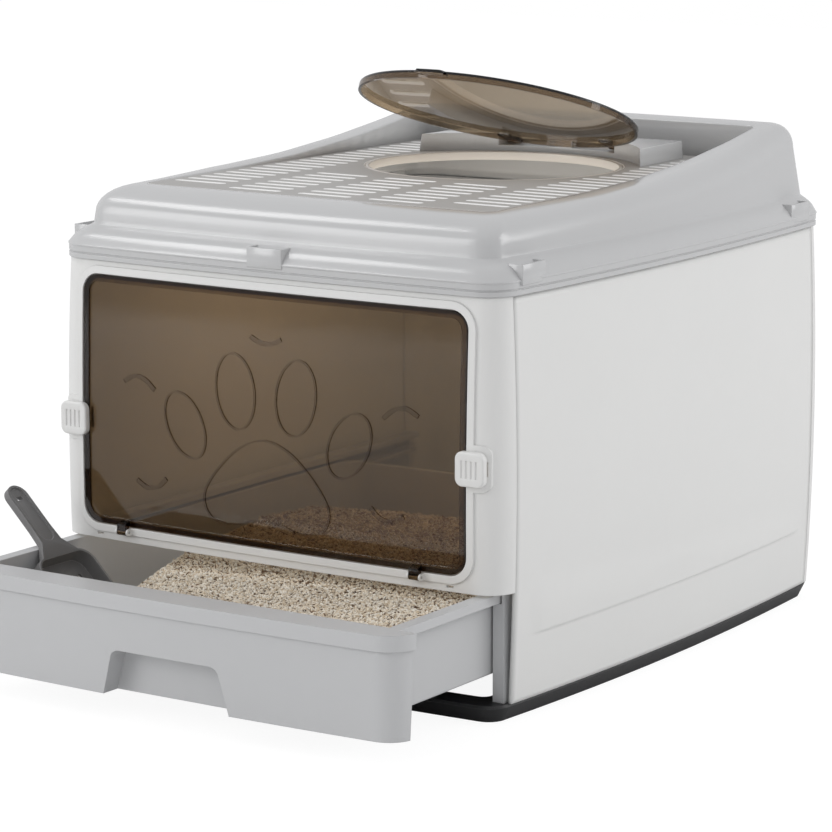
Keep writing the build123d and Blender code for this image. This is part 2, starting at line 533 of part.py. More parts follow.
scoop += Pos(0, 0, -HANDLE_T) * extrude(neck, HANDLE_T)
bar = box(-HANDLE_L + 1, 3, -HANDLE_HALF, HANDLE_HALF, -HANDLE_T, 0)
scoop += fillet(bar.edges().filter_by(Axis.Z).sort_by(Axis.X)[:2], HANDLE_HALF - 0.2)
scoop -= Pos(-HANDLE_L / 2 - 1, 0, -HANDLE_DISH) \
    * extrude(SlotOverall(HANDLE_L - 8, 2 * (HANDLE_HALF - HANDLE_BORDER)), 5)
scoop -= Pos(-HANDLE_L + 13, 0, -10) * extrude(SlotOverall(7, 3.0, rotation=90), 20)
rim_sum = -TRAY_HALF + RIM_Z        # x + z of the rim's inner corner, which the handle's underside clears
top_sum = rim_sum + (HANDLE_T + SCOOP_CLEAR) * sqrt(2)
scoop = Rot(0, SCOOP_LEAN, 0) * scoop
keep("scoop", scoop.moved(Location((SCOOP_X, tray_y0 - PULL + SCOOP_BACK, top_sum - SCOOP_X))))

# ================================================================ cover
# height over the panels, growth over the cabinet's outline, extra corner radius
HAT = [
    (COVER_GAP, FLANGE_OUT, 0), (7.0, FLANGE_OUT, 0), (9.6, FLANGE_OUT - 1.6, 1), (11.0, -1.5, 2),
    (15.0, -7.5, 5), (24.0, -11.5, 8), (35.0, -13.3, 9), (55.0, -15.3, 10), (75.0, -17.3, 11),
    (95.0, -19.3, 12),
]


def hat(rows, drop=0.0, off=0.0):
    """The cover's outer walls as a solid."""
    wires = [outline(Z_TOP + up - drop, g + off, CORNER_R + g + k + off * 0.5).outer_wire()
             for up, g, k in rows]
    return Solid.make_loft(wires[:4], ruled=True) + Solid.make_loft(wires[3:])


def crown(drop=0.0, inset=0.0):
    """Side profile of the cover: front slope, flat middle and a rim that rises to the back."""
    def at(y, up):
        return (y, Z_TOP + up - drop)
    f, b, end = -HALF_D, HALF_D, REACH
    front = Polyline((-end, Z_TOP - 60), at(-end, 21.0), at(f + 7 + inset, 30.5))
    roll = Spline(at(f + 7 + inset, 30.5), at(f + 14 + inset * 0.8, 38.0), at(f + 28 + inset * 0.6, 46.5),
                  at(f + 48 + inset * 0.3, DECK_UP), at(f + 70, DECK_UP + 0.8))
    rise = Spline(at(f + 70, DECK_UP + 0.8), at(-HALF_D * 0.28, DECK_UP + 1.0), at(HALF_D * 0.04, 58.0),
                  at(HALF_D * 0.36, 65.0), at(b - 90, 74.5), at(b - 45, 83.0), at(b - 18 - inset, 87.0),
                  at(end, 88.0))
    back = Polyline(at(end, 88.0), (end, Z_TOP - 60), (-end, Z_TOP - 60))
    return extrude(Plane.YZ * make_face([front, roll, rise, back]), REACH, both=True)


def deck_pocket(grow, z0):
    """The room above the deck, inside the rims."""
    face = Rectangle(2 * (DECK_HALF + grow), DECK_Y1 - DECK_Y0 + 2 * grow)
    face = fillet(face.vertices(), DECK_R + grow)
    return Pos(0, (DECK_Y0 + DECK_Y1) / 2, z0) * extrude(face, SKY - z0)


cover = hat(HAT) & crown()
shoulders = cover.edges().filter_by(lambda e: e.center().Z > Z_TOP + 33 and abs(e.center().X) > DECK_HALF - 12)
cover = fillet(shoulders, SHOULDER_R)
cover -= deck_pocket(0, DECK_Z)
inside = hat([(-5.0, FLANGE_OUT, 0)] + HAT[1:], COVER_T, -COVER_T) & crown(COVER_T, COVER_T)
cover -= inside - deck_pocket(COVER_T, DECK_Z - COVER_T)
skirt_z = Z_TOP - SKIRT_DROP
skirt = extrude(outline(skirt_z, -WALL - SKIRT_IN), SKIRT_DROP + SKIRT_UP)
cover += skirt - extrude(outline(skirt_z - 1, -WALL - SKIRT_IN - SKIRT_T), SKIRT_DROP + SKIRT_UP + 2)


def ellipse(rx, ry, z, h, y=ENTRY_Y):
    """An upright oval block."""
    return Pos(0, y, z) * extrude(Ellipse(rx, ry), h)


def beside_entry(x_mid, y):
    """Least distance from the middle plane at which a slot of the outermost columns may start."""
    t = min(1.0, abs(y - ENTRY_Y) / (ENTRY_RY + ENTRY_EDGE))
    clear = (ENTRY_RX + ENTRY_EDGE) * sqrt(1 - t * t)
    if y > BLOCK_FRONT:
        clear = max(clear, BLOCK_HALF + 3)
    return max(abs(x_mid) - SLOT_L / 2, clear)


def before_entry(x_mid):
    """How far back the slots of an inner column run."""
    near = max(0.0, abs(x_mid) - SLOT_L / 2) / (ENTRY_RX + ENTRY_EDGE)
    return ENTRY_Y - (ENTRY_RY + ENTRY_EDGE) * sqrt(max(0.0, 1 - near * near)) - 4


outer_col = int((DECK_HALF - SLOT_MARGIN - SLOT_L / 2) / SLOT_PITCH_X)
rows = int((DECK_Y1 - 8 - SLOT_Y0) / SLOT_PITCH_Y) + 1
for col in range(-outer_col, outer_col + 1):
    x = col * SLOT_PITCH_X
    outermost = abs(col) == outer_col
    for row in range(1 if outermost else 0, rows):
        y = SLOT_Y0 + row * SLOT_PITCH_Y
        if not outermost and y > before_entry(x):
            break
        near, far = -SLOT_L / 2, SLOT_L / 2
        if outermost:
            near = beside_entry(x, y) - abs(x)
        if far - near < 3 * SLOT_W:
            continue
        turn = -1 if x < 0 else 1
        cover -= Pos(x + turn * (near + far) / 2, y, DECK_Z - 2 * COVER_T) \
            * extrude(SlotOverall(far - near, SLOT_W), 4 * COVER_T)
cover -= ellipse(ENTRY_RX, ENTRY_RY, DECK_Z - 10, 30)
keep("top_cover", cover)

collar_rx, collar_ry = ENTRY_RX - COLLAR_FIT, ENTRY_RY - COLLAR_FIT
collar = ellipse(collar_rx, collar_ry, DECK_Z - COLLAR_DEEP, COLLAR_DEEP)
collar += ellipse(ENTRY_RX + COLLAR_FLANGE, ENTRY_RY + COLLAR_FLANGE, DECK_Z - COVER_T - 0.1 - COLLAR_FLANGE_T,
                  COLLAR_FLANGE_T)
collar -= ellipse(collar_rx - COLLAR_T, collar_ry - COLLAR_T, DECK_Z - 20, 40)
keep("entry_collar", collar)

# ================================================================ lid and its hinge
block = make_face(Polyline((-BLOCK_HALF, BLOCK_FRONT), (BLOCK_HALF, BLOCK_FRONT), (BLOCK_HALF - 4, BLOCK_REAR),
                           (-BLOCK_HALF + 4, BLOCK_REAR), close=True))
block = Pos(0, 0, DECK_Z) * extrude(block, BLOCK_H, taper=BLOCK_DRAFT)
block -= ellipse(LID_RX + BLOCK_CLEAR, LID_RY + BLOCK_CLEAR, DECK_Z - 1, 40)
bay_half = LID_KNUCKLE_X + LID_KNUCKLE_HALF + LID_KNUCKLE_GAP
block -= box(-bay_half, bay_half, BLOCK_FRONT, LID_AXIS_Y + LID_BARREL_R + 1.6,
             LID_AXIS_Z - LID_BARREL_R - 0.8, SKY)
block += box(-POST_HALF, POST_HALF, LID_AXIS_Y - POST_R, LID_AXIS_Y + LID_BARREL_R + 2.0, DECK_Z + 2,
             LID_AXIS_Z)
block += tube(POST_R, -POST_HALF, POST_HALF, LID_AXIS_Y, LID_AXIS_Z)
pin_reach = LID_KNUCKLE_X + LID_KNUCKLE_HALF + LID_PIN_SEAT
pin = tube(LID_PIN_R, -pin_reach, pin_reach, LID_AXIS_Y, LID_AXIS_Z)
keep("lid_hinge_block", block - pin)
keep("lid_hinge_pin", pin)

lid_top = LID_LOW_Z + LID_SKIRT
lid = ellipse(LID_RX, LID_RY, LID_LOW_Z, LID_SKIRT)
lid = fillet(lid.edges().group_by(Axis.Z)[-1], LID_EDGE)
lid -= ellipse(LID_RX - LID_RIM_T, LID_RY - LID_RIM_T, LID_LOW_Z - 1, LID_SKIRT - LID_T + 1)
edge_y = ENTRY_Y + LID_RY * sqrt(1 - (LID_KNUCKLE_X / LID_RX) ** 2)
for side in (-1, 1):
    x0, x1 = sorted((side * (LID_KNUCKLE_X - LID_KNUCKLE_HALF), side * (LID_KNUCKLE_X + LID_KNUCKLE_HALF)))
    lid += tube(LID_BARREL_R, x0, x1, LID_AXIS_Y, LID_AXIS_Z)
    lid += box(x0, x1, edge_y - 4, LID_AXIS_Y, lid_top - 3.6, lid_top - 0.3)
    lid -= tube(LID_PIN_R + LID_PIN_CLEAR, x0 - 1, x1 + 1, LID_AXIS_Y, LID_AXIS_Z)
lid_front = ENTRY_Y - LID_RY
tab = box(-LID_TAB_HALF, LID_TAB_HALF, lid_front - LID_TAB_OUT, lid_front + LID_TAB_OUT + 1,
          lid_top - LID_TAB_T - 0.6, lid_top - 0.6)
lid += fillet(tab.edges().filter_by(Axis.Z).sort_by(Axis.Y)[:2], LID_TAB_OUT * 0.8)
hinge = Axis((0, LID_AXIS_Y, LID_AXIS_Z), (-1, 0, 0))
keep("lid", lid.rotate(hinge, LID_OPEN))

# ================================================================ clips on the cover flange


def clip():
    """A small open-backed hook box, its face on y = 0 and its back toward +Y."""
    half = CLIP_L / 2
    piece = box(-half, half, 0, CLIP_T, 0, CLIP_H)
    for x in (-half, half - 2.0):
        web = make_face(Polyline((0, 0), (CLIP_DEEP, 0), (CLIP_DEEP, CLIP_H * 0.8), (0, CLIP_H), close=True))
        piece += extrude(Plane.YZ * web, 2.0).moved(Location((x, 0, 0)))
    return piece + box(-half, half, 0, CLIP_DEEP, 0, CLIP_H - CLIP_STEP)


def side_x(y):
    """Where a clip's face stands beside the cabinet at y."""
    return HALF_W + FLANGE_OUT - 1.0 + SIDE_BOW * (1 - (y / HALF_D) ** 2)


end_y = HALF_D + FRONT_BOW + 1.0
places = {
    "clip_front": (0, -end_y, 0),
    "clip_rear": (0, end_y, 180),
    "clip_right_front": (side_x(CLIP_FRONT_Y), CLIP_FRONT_Y, 90),
    "clip_right_rear": (side_x(CLIP_REAR_Y), CLIP_REAR_Y, 90),
    "clip_left_front": (-side_x(CLIP_FRONT_Y), CLIP_FRONT_Y, -90),
    "clip_left_rear": (-side_x(CLIP_REAR_Y), CLIP_REAR_Y, -90),
}
walls = hat(HAT)
for name, (x, y, turn) in places.items():
    piece = clip().moved(Location((x, y, Z_TOP + FLANGE_H), (0, 0, turn)))
    keep(name, piece - walls)

lo = min(s.bounding_box().min.Y for s in made.values())
hi = max(s.bounding_box().max.Y for s in made.values())
print(len(made), "pieces; whole box y", round(lo, 2), round(hi, 2), "centre", round((lo + hi) / 2, 2))
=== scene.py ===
# %% [markdown]
# # A drawer litter box, finished in Blender
# The construction comes from CAD: every piece is already at its real size and rides on a body that moves.
# This lesson gives the pieces their finish, rebuilds the ones whose shape is softer than CAD drew them, pours
# the litter, and sets up the photograph's view. Lengths are metres in the object's own frame.

# %% Load the frame
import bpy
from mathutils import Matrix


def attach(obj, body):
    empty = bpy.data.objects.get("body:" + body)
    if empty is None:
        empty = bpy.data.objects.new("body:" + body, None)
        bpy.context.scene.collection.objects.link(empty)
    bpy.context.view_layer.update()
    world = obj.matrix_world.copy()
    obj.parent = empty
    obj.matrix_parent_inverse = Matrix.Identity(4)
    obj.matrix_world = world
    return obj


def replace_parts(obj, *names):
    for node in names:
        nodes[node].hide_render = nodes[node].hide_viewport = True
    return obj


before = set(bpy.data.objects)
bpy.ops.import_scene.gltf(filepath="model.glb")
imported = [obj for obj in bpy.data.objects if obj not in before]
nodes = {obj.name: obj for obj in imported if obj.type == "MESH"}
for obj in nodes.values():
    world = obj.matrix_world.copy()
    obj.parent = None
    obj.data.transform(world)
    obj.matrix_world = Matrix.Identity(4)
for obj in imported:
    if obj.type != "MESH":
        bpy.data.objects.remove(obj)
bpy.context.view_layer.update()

import math
import random

import bmesh
import bpy
import numpy as np
from mathutils import Matrix, Vector
from mathutils.bvhtree import BVHTree

MM = 0.001

# %% [markdown]
# ## The camera
# A product photograph is taken from far away with a long lens, so that upright edges stay nearly upright.
# The camera could be placed by eye, but its azimuth, height and lens were fitted to the photograph's edges
# first, so they are typed in here as one place, three angles and a focal length.

# %% Camera
CAMERA_AT = (1.51318, -2.25758, 0.69395)
LENS, SENSOR = 150.25, 36.0
AZIMUTH, ELEVATION, TILT = (math.radians(a) for a in (33.711, 10.658, 0.018))
camera = bpy.data.objects.new("camera", bpy.data.cameras.new("camera"))
bpy.context.scene.collection.objects.link(camera)
bpy.context.scene.camera = camera
camera.location = CAMERA_AT
camera.rotation_euler = (math.pi / 2 - ELEVATION, TILT, AZIMUTH)
camera.data.lens, camera.data.sensor_width = LENS, SENSOR
camera.data.clip_start, camera.data.clip_end = 0.1, 60.0
print("camera at", CAMERA_AT, "lens", LENS, "mm")

# %% [markdown]
# ## White room and soft lamps
# The photograph has a pure white ground. More light would also bleach the object, so the white belongs to
# the floor and the world: rays from the camera and through the clear plastic read white, while the rays that
# light the object or return from its gloss read a plain grey, so the lamps stand out in every reflection. The
# floor keeps part of its real shading, and with it the object's shadow.

# %% Node helpers
def node(tree, kind, **inputs):
    """Add a node; keyword names are input sockets (underscores are spaces), values or sockets to link."""
    made = tree.nodes.new(kind)
    for name, value in inputs.items():
        plug(tree, made.inputs[name.replace("_", " ")], value)
    return made


def plug(tree, socket, value):
    """Set an input, or link it when the value is another node's output."""
    if isinstance(value, bpy.types.NodeSocket):
        tree.links.new(value, socket)
    elif hasattr(socket.default_value, "__len__") and len(socket.default_value) == 4 and len(value) == 3:
        socket.default_value = (*value, 1.0)
    else:
        socket.default_value = value


def maths(tree, operation, a, b=0.0, clamp=False):
    """One Math node's result."""
    made = tree.nodes.new("ShaderNodeMath")
    made.operation, made.use_clamp = operation, clamp
    plug(tree, made.inputs[0], a)
    plug(tree, made.inputs[1], b)
    return made.outputs[0]


def mixed(tree, amount, a, b, blend="MIX"):
    """One colour Mix node's result."""
    made = tree.nodes.new("ShaderNodeMix")
    made.data_type, made.blend_type = "RGBA", blend
    plug(tree, made.inputs[0], amount)
    plug(tree, made.inputs[6], a)
    plug(tree, made.inputs[7], b)
    return made.outputs[2]


def seen_rays(tree):
    """1 for rays from the camera and through clear plastic, 0 for reflections and rays that light things."""
    path = tree.nodes.new("ShaderNodeLightPath")
    return maths(tree, "MAXIMUM", path.outputs["Is Camera Ray"], path.outputs["Is Transmission Ray"])


# %% World
WHITE = (1.0, 1.0, 1.0)
ROOM_LIGHT = (0.66, 0.66, 0.67)
world = bpy.data.worlds.new("white_room")
bpy.context.scene.world = world
world.use_nodes = True
tree = world.node_tree
tree.nodes["Background"].inputs["Strength"].default_value = 1.0
tree.links.new(mixed(tree, seen_rays(tree), ROOM_LIGHT, WHITE), tree.nodes["Background"].inputs["Color"])
bpy.context.scene.view_settings.view_transform = "Standard"
print("world light", ROOM_LIGHT)

# %% Floor
FLOOR_HALF, FLOOR_WHITE = 6.0, 0.80
FLOOR_GLOW, GLOW_STRENGTH = 0.82, 1.12
plan = bmesh.new()
bmesh.ops.create_grid(plan, x_segments=1, y_segments=1, size=FLOOR_HALF)
floor_mesh = bpy.data.meshes.new("floor")
plan.to_mesh(floor_mesh)
plan.free()
floor = bpy.data.objects.new("floor", floor_mesh)
bpy.context.scene.collection.objects.link(floor)
paper = bpy.data.materials.new("white_paper")
paper.use_nodes = True
tree = paper.node_tree
tree.nodes.clear()
shaded = node(tree, "ShaderNodeBsdfDiffuse", Color=(FLOOR_WHITE,) * 3)
bright = node(tree, "ShaderNodeEmission", Color=WHITE, Strength=GLOW_STRENGTH)
both = node(tree, "ShaderNodeMixShader")
plug(tree, both.inputs[0], maths(tree, "MULTIPLY", seen_rays(tree), FLOOR_GLOW))
tree.links.new(shaded.outputs[0], both.inputs[1])
tree.links.new(bright.outputs[0], both.inputs[2])
tree.links.new(both.outputs[0], node(tree, "ShaderNodeOutputMaterial").inputs[0])
floor_mesh.materials.append(paper)
print("floor", 2 * FLOOR_HALF, "m square")

# %% Lamps
def soft_lamp(name, at, aim, size, watts):
    """A square soft box at a place, turned towards another."""
    lamp = bpy.data.objects.new(name, bpy.data.lights.new(name, "AREA"))
    lamp.data.shape, lamp.data.size, lamp.data.energy = "SQUARE", size, watts
    lamp.location = at
    lamp.rotation_euler = (Vector(aim) - Vector(at)).to_track_quat("-Z", "Y").to_euler()
    bpy.context.scene.collection.objects.link(lamp)
    print(name, watts, "W")


MIDDLE = (0.0, 0.0, 0.2)
soft_lamp("lamp_right", (2.2, 1.3, 1.3), MIDDLE, 1.5, 19.0)
soft_lamp("lamp_front", (-1.7, -2.4, 1.2), MIDDLE, 1.4, 21.0)
# Seen in the cover's round edges, this small lamp draws the thin bright lines along the front.
soft_lamp("lamp_top", (-1.3, -0.4, 2.1), MIDDLE, 0.7, 6.5)

# %% Light through the walls
# White polypropylene 3 mm thick lets some light through, which the thin shells of a render can't do. A weak
# round lamp that nothing sees hangs in the middle of the room inside and stands in for it.
inner = bpy.data.objects.new("lamp_inside", bpy.data.lights.new("lamp_inside", "POINT"))
inner.data.energy, inner.data.shadow_soft_size, inner.data.color = 0.9, 0.07, (1.0, 0.96, 0.90)
inner.location = (0.0, 0.066, 0.27)
inner.visible_camera = inner.visible_glossy = inner.visible_transmission = False
bpy.context.scene.collection.objects.link(inner)
print(inner.name, inner.data.energy, "W")

# %% [markdown]
# ## Moulded plastic
# Nearly every piece is injection-moulded polypropylene. Up close such a surface isn't one flat colour: it
# has a fine spark-eroded grain, the colour drifts a little where the melt cooled at different speeds, and the
# edges are never truly sharp. These effects could be painted into each material, but they are the same
# everywhere, so each is a node group that every material places with its own values.

# %% Group helpers
def new_group(name, inputs, outputs):
    """An empty shader node group with named sockets; returns the group, its input and output nodes."""
    group = bpy.data.node_groups.new(name, "ShaderNodeTree")
    for label, kind, value in inputs:
        socket = group.interface.new_socket(label, in_out="INPUT", socket_type=kind)
        socket.default_value = value
    for label, kind in outputs:
        group.interface.new_socket(label, in_out="OUTPUT", socket_type=kind)
    return group, group.nodes.new("NodeGroupInput"), group.nodes.new("NodeGroupOutput")


def use(tree, group, **inputs):
    """Place a group in a material with its own values."""
    made = tree.nodes.new("ShaderNodeGroup")
    made.node_tree = group
    for name, value in inputs.items():
        plug(tree, made.inputs[name.replace("_", " ")], value)
    return made


def noise_value(tree, coordinates, scale, detail=2.0, roughness=0.5):
    """A noise texture's value."""
    made = node(tree, "ShaderNodeTexNoise", Scale=scale, Detail=detail, Roughness=roughness)
    tree.links.new(coordinates, made.inputs["Vector"])
    return made.outputs[0]


FLOAT, COLOUR, VECTOR = "NodeSocketFloat", "NodeSocketColor", "NodeSocketVector"

# %% Group: moulded skin
# Colour drifts by a few percent over a hand's width; the grain is a fine even roughness under a millimetre.
skin, ins, outs = new_group(
    "moulded_skin",
    [("Colour", COLOUR, (0.8, 0.8, 0.8, 1)), ("Drift", FLOAT, 0.04), ("Gloss", FLOAT, 0.35),
     ("Gloss Drift", FLOAT, 0.06), ("Grain Size", FLOAT, 1300.0)],
    [("Colour", COLOUR), ("Roughness", FLOAT), ("Height", FLOAT)])
place = skin.nodes.new("ShaderNodeTexCoord").outputs["Object"]
drift = maths(skin, "MULTIPLY", noise_value(skin, place, 7.0, 3.0), ins.outputs["Drift"])
dusty = maths(skin, "MULTIPLY", noise_value(skin, place, 90.0, 4.0, 0.6), ins.outputs["Drift"])
shade = maths(skin, "SUBTRACT", 1.0, maths(skin, "ADD", drift, maths(skin, "MULTIPLY", dusty, 0.4)))
grey = node(skin, "ShaderNodeCombineColor", Red=shade, Green=shade, Blue=shade).outputs[0]
plug(skin, outs.inputs["Colour"], mixed(skin, 1.0, ins.outputs["Colour"], grey, "MULTIPLY"))
uneven = maths(skin, "SUBTRACT", noise_value(skin, place, 26.0, 3.0), 0.5)
rough = maths(skin, "ADD", ins.outputs["Gloss"], maths(skin, "MULTIPLY", uneven, ins.outputs["Gloss Drift"]))
plug(skin, outs.inputs["Roughness"], rough)
plug(skin, outs.inputs["Height"], noise_value(skin, place, ins.outputs["Grain Size"], 1.0))
print("group", skin.name)

# %% Group: soft edge
# The bevel node looks a little way round each corner, so a sharp corner reads as a rounded one, and the
# angle between the two normals marks where an edge is rubbed.
soft, ins, outs = new_group(
    "soft_edge", [("Wear", FLOAT, 0.5)], [("Normal", VECTOR), ("Rubbed", FLOAT)])
EDGE_RADIUS = 0.9 * MM
rounding = node(soft, "ShaderNodeBevel", Radius=EDGE_RADIUS)
rounding.samples = 4
plain = soft.nodes.new("ShaderNodeNewGeometry")
turn = soft.nodes.new("ShaderNodeVectorMath")
turn.operation = "DOT_PRODUCT"
soft.links.new(rounding.outputs[0], turn.inputs[0])
soft.links.new(plain.outputs["Normal"], turn.inputs[1])
corner = maths(soft, "MULTIPLY", maths(soft, "SUBTRACT", 1.0, turn.outputs["Value"]), 6.0, clamp=True)
place = soft.nodes.new("ShaderNodeTexCoord").outputs["Object"]
patchy = maths(soft, "MULTIPLY", noise_value(soft, place, 60.0, 4.0, 0.6), 1.6, clamp=True)
plug(soft, outs.inputs["Normal"], rounding.outputs[0])
plug(soft, outs.inputs["Rubbed"], maths(soft, "MULTIPLY", maths(soft, "MULTIPLY", corner, patchy),
                                        ins.outputs["Wear"]))
print("group", soft.name)

# %% Plastic material
def plastic(name, colour, gloss=0.35, drift=0.04, grain=0.00004, grain_size=1300.0, wear=0.3,
            worn=(0.9, 0.9, 0.9), coat=0.0, tint=None):
    """Moulded plastic. grain is the depth of its texture in metres; tint may change the colour by place."""
    mat = bpy.data.materials.new(name)
    mat.use_nodes = True
    tree = mat.node_tree
    shader = tree.nodes["Principled BSDF"]
    base = tint(tree, colour) if tint else colour
    body = use(tree, skin, Colour=base, Drift=drift, Gloss=gloss, Grain_Size=grain_size)
    edge = use(tree, soft, Wear=wear)
    worn_colour = mixed(tree, edge.outputs["Rubbed"], body.outputs["Colour"], worn)
    plug(tree, shader.inputs["Base Color"], worn_colour)
    plug(tree, shader.inputs["Roughness"], body.outputs["Roughness"])
    bump = node(tree, "ShaderNodeBump", Strength=1.0, Distance=grain, Height=body.outputs["Height"],
                Normal=edge.outputs["Normal"])
    plug(tree, shader.inputs["Normal"], bump.outputs[0])
    shader.inputs["IOR"].default_value = 1.49
    shader.inputs["Coat Weight"].default_value = coat
    shader.inputs["Coat Roughness"].default_value = 0.12
    print("material", name)
    return mat


# %% Colours of the plain plastics
white = plastic("white_plastic", (0.80, 0.80, 0.785), gloss=0.36)
cover_grey = plastic("cover_grey", (0.57, 0.573, 0.575), gloss=0.20, coat=0.4)
drawer_grey = plastic("drawer_grey", (0.585, 0.59, 0.595), gloss=0.36)
charcoal = plastic("charcoal", (0.014, 0.014, 0.015), gloss=0.42, worn=(0.2, 0.2, 0.2), wear=0.4)
warm_white = plastic("warm_white", (0.62, 0.59, 0.55), gloss=0.34)
mid_grey = plastic("mid_grey", (0.18, 0.178, 0.178), gloss=0.42)
rubber = plastic("foot_rubber", (0.02, 0.02, 0.02), gloss=0.7, wear=0.1)

# %% Steel pins
steel = bpy.data.materials.new("pin_steel")
steel.use_nodes = True
tree = steel.node_tree
shader = tree.nodes["Principled BSDF"]
shader.inputs["Metallic"].default_value = 1.0
body = use(tree, skin, Colour=(0.55, 0.55, 0.54), Drift=0.1, Gloss=0.3, Gloss_Drift=0.2)
plug(tree, shader.inputs["Base Color"], body.outputs["Colour"])
plug(tree, shader.inputs["Roughness"], body.outputs["Roughness"])
print("material", steel.name)

# %% Smoky clear plastic
# The smoke is in the plastic, not on it: a sheet looks light brown, and a rim seen along its length goes nearly
# black. So the surface is only lightly tinted and the volume absorbs, blue most and red least. A shadow ray
# passes as a plain tint, because lamps have to reach through the sheet.
SHEET_TINT = (0.55, 0.49, 0.41)


def smoky_clear(name, tint, density):
    """See-through brown plastic; density is how fast its smoke darkens, per metre."""
    mat = bpy.data.materials.new(name)
    mat.use_nodes = True
    tree = mat.node_tree
    shader = tree.nodes["Principled BSDF"]
    shader.inputs["Transmission Weight"].default_value = 1.0
    shader.inputs["IOR"].default_value = 1.49
    body = use(tree, skin, Colour=tint, Drift=0.05, Gloss=0.03, Gloss_Drift=0.02)
    plug(tree, shader.inputs["Base Color"], body.outputs["Colour"])
    plug(tree, shader.inputs["Roughness"], body.outputs["Roughness"])
    through = node(tree, "ShaderNodeBsdfTransparent", Color=SHEET_TINT)
    both = node(tree, "ShaderNodeMixShader")
    plug(tree, both.inputs[0], tree.nodes.new("ShaderNodeLightPath").outputs["Is Shadow Ray"])
    tree.links.new(shader.outputs[0], both.inputs[1])
    tree.links.new(through.outputs[0], both.inputs[2])
    tree.links.new(both.outputs[0], tree.nodes["Material Output"].inputs[0])
    smoke = node(tree, "ShaderNodeVolumeAbsorption", Color=(0.40, 0.26, 0.06), Density=density)
    tree.links.new(smoke.outputs[0], tree.nodes["Material Output"].inputs["Volume"])
    print("material", name, density, "per metre")
    return mat


smoky_door = smoky_clear("smoky_door", (0.66, 0.57, 0.43), 680.0)
smoky_lid = smoky_clear("smoky_lid", (0.74, 0.67, 0.56), 470.0)

# %% Finishes on the CAD pieces
FINISH = {
    "white": (white, ["left_side_panel", "right_side_panel", "rear_panel", "front_frame", "left_latch",
                      "right_latch"]),
    "cover": (cover_grey, ["top_cover", "lid_hinge_block", "clip_front", "clip_rear", "clip_right_front",
                           "clip_right_rear", "clip_left_front", "clip_left_rear"]),
    "drawer": (drawer_grey, ["drawer_front", "drawer_tray", "left_drawer_channel", "right_drawer_channel"]),
    "charcoal": (charcoal, ["base_frame"]),
    "rubber": (rubber, ["foot_pad_front_left", "foot_pad_rear_left", "foot_pad_front_right",
                        "foot_pad_rear_right"]),
    "door": (smoky_door, ["front_door"]),
    "lid": (smoky_lid, ["lid"]),
    "steel": (steel, ["left_door_pin", "right_door_pin", "lid_hinge_pin"]),
    "warm": (warm_white, ["entry_collar"]),
    "scoop": (mid_grey, ["scoop"]),
    "litter": (warm_white, ["litter_bed"]),
}
for mat, names in FINISH.values():
    for name in names:
        nodes[name].data.materials.clear()
        nodes[name].data.materials.append(mat)

# %% [markdown]
# ## Shaping helpers
# A piece whose CAD form is right keeps it. Where the real moulding is softer, a new mesh takes its place. The
# helpers below turn a mesh into a riding piece, and round the sharp edges of a copy of a CAD form.

# %% Pieces
SEAM_ANGLE = math.radians(32)


def piece(name, mesh, body, mat, smooth=SEAM_ANGLE):
    """Make an object of a mesh, shade it smooth below an angle, finish it and let it ride a body."""
    made = bpy.data.objects.new(name, mesh)
    bpy.context.scene.collection.objects.link(made)
    mesh.materials.clear()
    mesh.materials.append(mat)
    if smooth:
        mesh.polygons.foreach_set("use_smooth", [True] * len(mesh.polygons))
        mesh.set_sharp_from_angle(angle=smooth)
    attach(made, body)
    print("piece", name, len(mesh.vertices), "points")
    return made


def finished(plan, name):
    """Turn a bmesh into a mesh and let it go."""
    mesh = bpy.data.meshes.new(name)
    plan.to_mesh(mesh)
    plan.free()
    return mesh


def cad_copy(name):
    """A CAD node's form as a bmesh, its facets joined into whole faces."""
    plan = bmesh.new()
    plan.from_mesh(nodes[name].data)
    bmesh.ops.remove_doubles(plan, verts=plan.verts, dist=1e-6)
    bmesh.ops.dissolve_limit(plan, angle_limit=math.radians(0.6), verts=plan.verts, edges=plan.edges)
    return plan


def rounded(node_name, piece_name, body, mat, width, segments=2, corner=40.0):
    """Replace a CAD node by a copy with its sharp edges rounded."""
    plan = cad_copy(node_name)
    sharp = [e for e in plan.edges if len(e.link_faces) == 2 and e.calc_face_angle(0) > math.radians(corner)]
    bmesh.ops.bevel(plan, geom=sharp, offset=width, offset_type="OFFSET", segments=segments, profile=0.5,
                    affect="EDGES", clamp_overlap=True, material=-1)
    made = piece(piece_name, finished(plan, piece_name), body, mat)
    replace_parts(made, node_name)
    return made


def walled(made, thickness):
    """Give an open skin a wall behind its outer face."""
    wall = made.modifiers.new("wall", "SOLIDIFY")
    wall.thickness, wall.offset, wall.use_even_offset = thickness, -1.0, True
    return made


# %% [markdown]
# ## The cover
# The real cover is one thin moulding, drawn over a form whose walls lean in and roll over at the top, with a
# stepped flange round its foot. It could be carved from the CAD solid, but its section changes all the way
# round, so it is grown like a wall: one closed ring of points at the foot is extruded ring by ring, and each
# ring is placed by its height and its inset. The columns keep their order, so the faces stay even.

# %% Columns round the plan, in millimetres about the cabinet's centre
HALF_W, HALF_D, BACK = 200.0, 250.0, 65.6
SIDE_BOW, FRONT_BOW = 10.5, 5.5


def middles(count):
    """Even places between 0 and 1, clear of both ends."""
    return [(i + 0.5) / count for i in range(count)]


